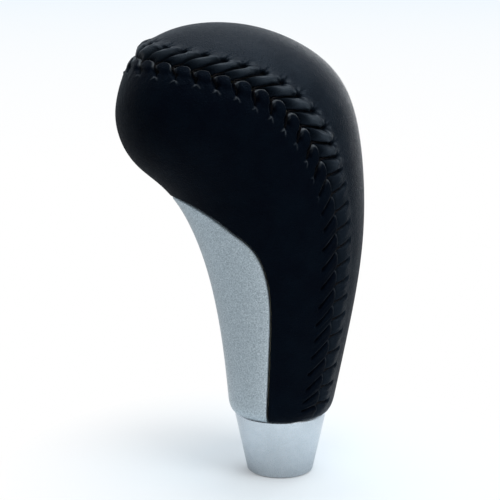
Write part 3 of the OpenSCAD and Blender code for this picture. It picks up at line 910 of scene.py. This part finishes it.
class Material(Tree):
    """A material with its Principled shader. Its patterns are scaled in millimetres."""

    def __init__(self, name, **values):
        self.material = bpy.data.materials.new(name)
        self.material.use_nodes = True
        super().__init__(self.material.node_tree)
        self.shader = self.tree.nodes["Principled BSDF"]
        for socket, value in values.items():
            self.shader.inputs[socket.replace("_", " ")].default_value = value
        scale = self.new("VectorMath")
        scale.operation = "SCALE"
        scale.inputs["Scale"].default_value = 1 / MM
        self.link(self.new("TexCoord").outputs["Object"], scale.inputs[0])
        self.millimetres = scale.outputs[0]

    def noise(self, scale, detail=3, roughness=0.5, vector=None):
        node = self.new("TexNoise")
        node.inputs["Scale"].default_value = scale
        node.inputs["Detail"].default_value = detail
        node.inputs["Roughness"].default_value = roughness
        self.link(vector or self.millimetres, node.inputs["Vector"])
        return node.outputs["Fac"]

    def cells(self, scale, feature="DISTANCE_TO_EDGE"):
        node = self.new("TexVoronoi")
        node.feature = feature
        node.inputs["Scale"].default_value = scale
        self.link(self.millimetres, node.inputs["Vector"])
        return node.outputs["Distance"]

    def stretched(self, x, y, z):
        node = self.new("VectorMath")
        node.operation = "MULTIPLY"
        node.inputs[1].default_value = (x, y, z)
        self.link(self.millimetres, node.inputs[0])
        return node.outputs[0]

    def attribute(self, name):
        node = self.new("Attribute")
        node.attribute_name = name
        return node.outputs["Fac"]

    def mixed(self, share, colour, other):
        """Linked colour that passes into a plain one as share goes from 0 to 1."""
        node = self.new("Mix")
        node.data_type = "RGBA"
        sockets = {s.identifier: s for s in node.inputs}
        sockets["B_Color"].default_value = (*other, 1)
        self.link(share, sockets["Factor_Float"])
        self.link(colour, sockets["A_Color"])
        return next(s for s in node.outputs if s.identifier == "Result_Color")

    def bump(self, height, distance_mm, strength=1.0, base=None):
        node = self.new("Bump")
        node.inputs["Strength"].default_value = strength
        node.inputs["Distance"].default_value = distance_mm * MM
        self.link(height, node.inputs["Height"])
        if base:
            self.link(base, node.inputs["Normal"])
        return node.outputs["Normal"]

    def finish(self, colour, roughness, normal):
        self.link(colour, self.shader.inputs["Base Color"])
        self.link(roughness, self.shader.inputs["Roughness"])
        self.link(normal, self.shader.inputs["Normal"])
        return self.material


# Materials: colours are linear red, green and blue, and sizes are in millimetres
# Painted shade: the side panel's tones are the same leather as the back's, painted darker for the
# side that faces away from the lamps
SHADED_SIDE_BLACK = [(0.35, (0.0003, 0.0011, 0.0042)), (0.65, (0.0008, 0.0024, 0.006))]
BLUE_BLACK = [(0.35, (0.004, 0.007, 0.012)), (0.65, (0.007, 0.011, 0.017))]
THREAD_BLACK = [(0.3, (0.002, 0.002, 0.003)), (0.7, (0.007, 0.006, 0.007))]
SILVER_FLECKS = [(0.34, (0.35, 0.425, 0.47)), (0.5, (0.59, 0.67, 0.715)), (0.66, (0.84, 0.91, 0.95))]
ALUMINIUM = [(0.3, (0.69, 0.76, 0.815)), (0.7, (0.75, 0.81, 0.865))]
FOAM = [(0.3, (0.42, 0.37, 0.26)), (0.7, (0.52, 0.47, 0.34))]
SHEEN_BLUE = (0.7, 0.85, 1.0, 1)


def leather(name, tones, highlight_tone, tint, gloss, rough):
    n = Material(name, Specular_IOR_Level=gloss, Specular_Tint=(*tint, 1), Sheen_Weight=0.03,
                 Sheen_Roughness=0.4, Sheen_Tint=SHEEN_BLUE)
    plain = n.ramp(n.noise(0.18, detail=4), tones)
    # Painted highlight: the colour passes to a lighter tone where the mesh's attribute marks rims,
    # ridges and pads that would catch light
    tone = n.mixed(n.attribute("painted_highlight"), plain, highlight_tone)
    normal = n.bump(n.cells(1.8), 0.16)
    normal = n.bump(n.noise(2.6, detail=2), 0.1, base=normal)
    normal = n.bump(n.noise(0.35), 0.12, strength=0.35, base=normal)
    roughness = n.span(n.noise(0.9, detail=4), rough - 0.06, rough + 0.06, 0.3, 0.7)
    return n.finish(tone, roughness, normal)


def thread_material():
    n = Material("thread", Specular_IOR_Level=0.1, Sheen_Weight=0.02, Sheen_Roughness=0.4)
    fibres = n.noise(9.0, detail=2, vector=n.stretched(1, 1, 0.3))
    roughness = n.span(n.noise(4.0), 0.35, 0.5)
    return n.finish(n.ramp(n.noise(3.0), THREAD_BLACK), roughness, n.bump(fibres, 0.03, strength=0.6))


def silver_paint():
    n = Material("silver_paint", Metallic=0.5, Specular_IOR_Level=0.4, Coat_Weight=0.4,
                 Coat_Roughness=0.12)
    tone = n.ramp(n.noise(2.6, detail=4, roughness=0.75), SILVER_FLECKS)
    normal = n.bump(n.cells(3.2, "F1"), 0.05, strength=0.4)
    normal = n.bump(n.noise(1.4), 0.04, strength=0.3, base=normal)
    return n.finish(tone, n.span(n.noise(3.0), 0.4, 0.52, 0.3, 0.7), normal)


def satin_aluminium():
    n = Material("satin_aluminium", Metallic=1.0)
    turned = n.noise(2.0, detail=2, vector=n.stretched(0.15, 0.15, 6))
    normal = n.bump(turned, 0.004, strength=0.4)
    normal = n.bump(n.noise(14, detail=2), 0.004, strength=0.5, base=normal)
    roughness = n.span(n.noise(6.0), 0.24, 0.31, 0.3, 0.7)
    return n.finish(n.ramp(n.noise(0.5), ALUMINIUM), roughness, normal)


def moulded(name, colour, rough):
    n = Material(name)
    light = tuple(c * 1.35 + 0.002 for c in colour)
    tone = n.ramp(n.noise(0.8), [(0.35, colour), (0.7, light)])
    normal = n.bump(n.noise(7.0), 0.015, strength=0.5)
    return n.finish(tone, n.span(n.noise(3.0), rough - 0.06, rough + 0.06), normal)


def steel(name, colour, rough):
    n = Material(name, Metallic=1.0)
    light = tuple(c * 1.2 for c in colour)
    tone = n.ramp(n.noise(1.2), [(0.3, colour), (0.7, light)])
    normal = n.bump(n.noise(3.0, detail=2, vector=n.stretched(1, 1, 4)), 0.01, strength=0.4)
    return n.finish(tone, n.span(n.noise(5.0), rough - 0.05, rough + 0.05), normal)


def foam_material():
    n = Material("moulded_foam")
    normal = n.bump(n.cells(2.5), 0.1, strength=0.6)
    return n.finish(n.ramp(n.noise(0.6), FOAM), n.span(n.noise(2.0), 0.8, 0.92), normal)


def dress(obj, material):
    obj.data.materials.clear()
    obj.data.materials.append(material)
    for face in obj.data.polygons:
        face.material_index = 0


# The pieces that stand for CAD nodes
fitted = [side_leather(), back_leather(), trim_shell(), lacing()]
coats = [
    # Each leather gets its tones, its painted highlight colour, specular tint, gloss and roughness;
    # the side's darker tones are painted shade
    leather("side_leather", SHADED_SIDE_BLACK, (0.15, 0.17, 0.19), (0.46, 0.7, 1.0), 0.07, 0.58),
    leather("back_leather", BLUE_BLACK, (0.08, 0.095, 0.11), (0.6, 0.78, 1.0), 0.12, 0.46),
    silver_paint(),
    thread_material(),
]
for piece, coat in zip(fitted, coats):
    dress(piece, coat)
for piece in fitted:
    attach(piece, "root")

# The CAD nodes that show as they are
dress(nodes["collar"], satin_aluminium())
dress(nodes["guide_bush"], moulded("bush_nylon", (0.02, 0.02, 0.023), 0.5))
dress(nodes["core"], moulded("core_nylon", (0.03, 0.03, 0.033), 0.6))
dress(nodes["foam_body"], foam_material())
dress(nodes["lever_insert"], steel("insert_steel", (0.4, 0.4, 0.42), 0.35))
plated = steel("plated_steel", (0.36, 0.37, 0.38), 0.32)
for number in (1, 2, 3):
    dress(nodes[f"collar_screw_{number}"], plated)
spring = steel("spring_steel", (0.42, 0.44, 0.47), 0.3)
for number in (1, 2, 3, 4):
    dress(nodes[f"trim_clip_{number}"], spring)


# Floor, world, lamps and camera, in metres
FLOOR_REACH = 14.0
FLOOR_WHITE = (1.0, 1.0, 1.0)
FAR_WHITE = (0.89, 0.95, 1.0)
FLOOR_SHADE = (0.82, 0.91, 0.97)
REFLECTED_FLOOR_SHADE = (0.03, 0.04, 0.05)
STUDIO_LIGHT = (0.86, 0.93, 1.0)
STUDIO_STRENGTHS = (0.06, 0.8)
STUDIO_BAND = (-0.4, 0.8)
# Bands of the floor, in millimetres from the knob's foot
FAR_BAND = (600, 3000)
SHADOW_BAND = (24, 78)
FOOT_SHADE_BAND = (12, 36)
DIM_CAMERA_BAND = (-330, -90)
DIM_SIDE_BAND = (14, 75)
# Lamps: name, place, aim, size and watts
LAMPS = [
    ("overhead", (0.05, 0.12, 0.7), (0, 0, 0.06), 0.6, 1.9),
    ("front_overhead", (0.07, -0.17, 0.64), (0, 0, 0.05), 0.3, 1.7),
    ("right_rim", (0.36, 0.7, 0.2), (0, 0, 0.07), 0.5, 2.2),
    ("front_key", (0.36, -0.3, 0.5), (0, 0, 0.04), 0.3, 1.1),
]
CAMERA_PLACE = (-0.00836, -0.398, 0.145)
CAMERA_TILT = 78.2
LENS = 108.36
SENSOR_WIDTH = 36


def floor_material():
    """White by its own light, which gives way to a shadow near the knob. In reflections only, it is
    painted
    darker: painted shade at the foot, and a painted dark reflection to both sides and far out on the
    camera's side."""
    n = Material("floor")
    length = n.new("VectorMath")
    length.operation = "LENGTH"
    n.link(n.millimetres, length.inputs[0])
    distance = length.outputs["Value"]
    place = n.apart(n.millimetres)
    light = n.new("Emission")
    outward = n.span(distance, 0, 1, *FAR_BAND)
    n.link(n.ramp(outward, [(0, FLOOR_WHITE), (1, FAR_WHITE)]), light.inputs["Color"])
    shade = n.coloured("BsdfDiffuse", FLOOR_SHADE)
    own = n.blend(n.span(distance, 0.26, 1.0, *SHADOW_BAND), shade, light.outputs[0])
    # Painted shade: the floor's reflection darkens near the foot, in place of the knob's own shadow
    # there
    painted_foot_shade = n.span(distance, 0.4, 0.0, *FOOT_SHADE_BAND)
    # Painted dark reflection: the reflected floor is darker toward the camera and to the sides
    toward_camera = n.span(place["Y"], 0.9, 0.05, *DIM_CAMERA_BAND)
    to_the_sides = n.span(n.math("ABSOLUTE", place["X"]), 0.05, 0.62, *DIM_SIDE_BAND)
    dimmed = n.math("MAXIMUM", painted_foot_shade, n.math("MAXIMUM", toward_camera, to_the_sides))
    reflected = n.blend(dimmed, own, n.coloured("BsdfDiffuse", REFLECTED_FLOOR_SHADE))
    ray = n.new("LightPath").outputs
    seen = n.blend(ray["Is Camera Ray"], reflected, own)
    n.output(n.blend(n.math("MAXIMUM", ray["Is Camera Ray"], ray["Is Glossy Ray"]), shade, seen))
    return n.material


def pale_floor():
    r = FLOOR_REACH
    mesh = bpy.data.meshes.new("floor")
    mesh.from_pydata([(-r, -r, 0), (r, -r, 0), (r, r, 0), (-r, r, 0)], [], [(0, 1, 2, 3)])
    floor = bpy.data.objects.new("floor", mesh)
    bpy.context.scene.collection.objects.link(floor)
    dress(floor, floor_material())


def pale_world():
    """A plain pale studio: bright above and behind, and dimmer on the side that the camera is on."""
    world = bpy.data.worlds.new("studio")
    bpy.context.scene.world = world
    world.use_nodes = True
    n = Tree(world.node_tree)
    place = n.apart(n.new("TexCoord").outputs["Generated"])
    around = n.tree.nodes["Background"]
    around.inputs["Color"].default_value = (*STUDIO_LIGHT, 1)
    strength = n.span(place["Y"], *STUDIO_STRENGTHS, *STUDIO_BAND, smooth=True)
    n.link(strength, around.inputs["Strength"])
    seen = n.coloured("Background", FAR_WHITE)
    camera_ray = n.new("LightPath").outputs["Is Camera Ray"]
    n.output(n.blend(camera_ray, around.outputs[0], seen))


def soft_lamp(name, place, aim, size, watts):
    data = bpy.data.lights.new(name, "AREA")
    data.size = size
    data.energy = watts
    lamp = bpy.data.objects.new(name, data)
    lamp.location = place
    direction = Vector(aim) - Vector(place)
    lamp.rotation_euler = direction.to_track_quat("-Z", "Y").to_euler()
    bpy.context.scene.collection.objects.link(lamp)


def camera():
    data = bpy.data.cameras.new("camera")
    data.lens = LENS
    data.sensor_width = SENSOR_WIDTH
    cam = bpy.data.objects.new("camera", data)
    cam.location = CAMERA_PLACE
    cam.rotation_euler = (math.radians(CAMERA_TILT), 0, 0)
    bpy.context.scene.collection.objects.link(cam)
    bpy.context.scene.camera = cam


pale_floor()
pale_world()
for lamp in LAMPS:
    soft_lamp(*lamp)
camera()
bpy.context.scene.view_settings.view_transform = "Standard"
